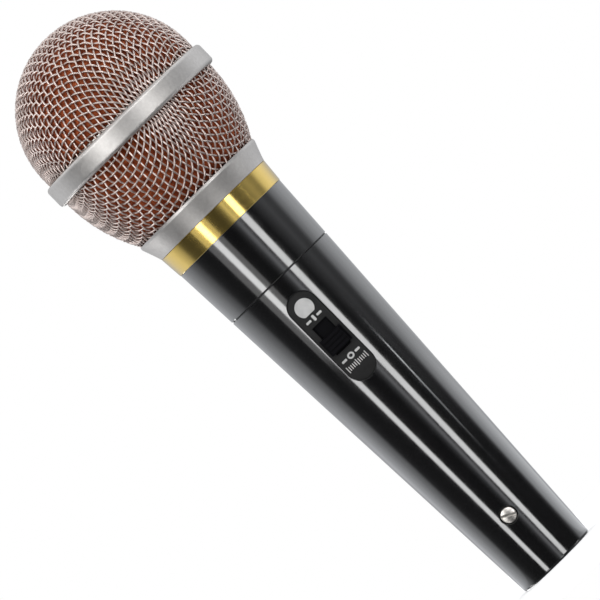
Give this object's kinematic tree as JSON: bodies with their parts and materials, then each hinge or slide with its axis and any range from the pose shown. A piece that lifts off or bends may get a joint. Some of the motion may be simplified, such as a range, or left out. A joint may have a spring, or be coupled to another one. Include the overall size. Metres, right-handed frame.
{
  "type": "dynamic microphone",
  "caption": "Handheld dynamic vocal microphone with a tapered gloss handle, slide mute switch, screw-on ball grille with foam liner, moving-coil capsule and XLR end connector.",
  "frame": {"origin": "centre of the handle's connector end face", "axes": "+Z along the microphone's axis from the connector end to the grille's tip; the switch faces -Y; +X is to the right when the switch faces the viewer and the grille is up"},
  "size_m": [0.053, 0.053, 0.1831],
  "materials": {
    "handle_lacquer": "deep gloss black lacquer",
    "zinc": "turned, threaded",
    "gold": "polished gold plate, turned",
    "plate_black": "fine matte with pale printed marks",
    "tinned_steel": "tinned",
    "contact_brass": "plain",
    "knob_plastic": "fine matte",
    "insert_plastic": "moulded",
    "pin_silver": "silver plated, turned",
    "screw_steel": "zinc plated",
    "lead_red": "wire sleeve",
    "lead_blue": "wire sleeve",
    "rubber": "soft matte",
    "capsule_metal": "satin, turned",
    "motor_steel": "turned",
    "magnet": "nickel plated",
    "cream_plastic": "moulded",
    "film": "thin clear film",
    "copper": "enamelled winding",
    "felt": "pressed felt",
    "grille_wire": "satin nickel plated woven wire",
    "satin_nickel": "bead blasted, satin nickel plated",
    "foam": "open-cell acoustic foam",
    "print_white": "printed ink"
  },
  "bodies": {
    "handle": {"handle_barrel": "handle_lacquer", "front_sleeve": "handle_lacquer", "neck": "zinc", "switch_plate": "plate_black", "switch_housing": "tinned_steel", "switch_terminals": "contact_brass", "xlr_insert": "insert_plastic", "xlr_pins": "pin_silver", "insert_lock_screw": "screw_steel", "output_leads": "lead_red", "capsule_leads": "lead_blue", "shock_mount": "rubber", "capsule_base": "insert_plastic", "capsule_terminals": "contact_brass", "capsule_housing": "capsule_metal", "yoke": "motor_steel", "magnet": "magnet", "pole_piece": "motor_steel", "motor_frame": "cream_plastic", "diaphragm_ring": "contact_brass", "damping_felt": "felt", "capsule_cover": "capsule_metal"},
    "switch_button": {"switch_knob": "knob_plastic", "switch_slider": "knob_plastic", "switch_contact": "contact_brass"},
    "diaphragm_coil": {"diaphragm": "film", "voice_coil": "copper"},
    "head_seal": {"trim_ring": "gold", "head_gasket": "rubber"},
    "head_lining": {"foam_liner_lower": "foam"},
    "head": {"grille_mesh_upper": "grille_wire", "grille_mesh_lower": "grille_wire", "grille_band": "satin_nickel", "grille_inner_ring": "capsule_metal", "grille_collar": "satin_nickel", "foam_liner_upper": "foam"}
  },
  "joints": [
    {"name": "switch_slide", "type": "slide", "parent": "handle", "child": "switch_button", "axis": [0, -0.0536, 0.9986], "range_m": [0, 0.0034]},
    {"name": "diaphragm_travel", "type": "slide", "parent": "handle", "child": "diaphragm_coil", "axis": [0, 0, 1], "range_m": [-0.0003, 0.0003], "stiffness_N_per_m": 50},
    {"name": "head_lift", "type": "slide", "parent": "handle", "child": "head_seal", "axis": [0, 0, 1], "range_m": [0, 0.07]},
    {"name": "head_rise", "type": "slide", "parent": "head_seal", "child": "head_lining", "axis": [0, 0, 1], "range_m": [0, 0.005]},
    {"name": "head_turn", "type": "hinge", "parent": "head_lining", "child": "head", "pos_m": [0, 0, 0.1255], "axis": [0, 0, 1], "range_deg": [0, 1800]}
  ],
  "couplings": [
    {"joint": "head_rise", "follows": "head_turn", "m_per_rad": 0.00015915}
  ]
}
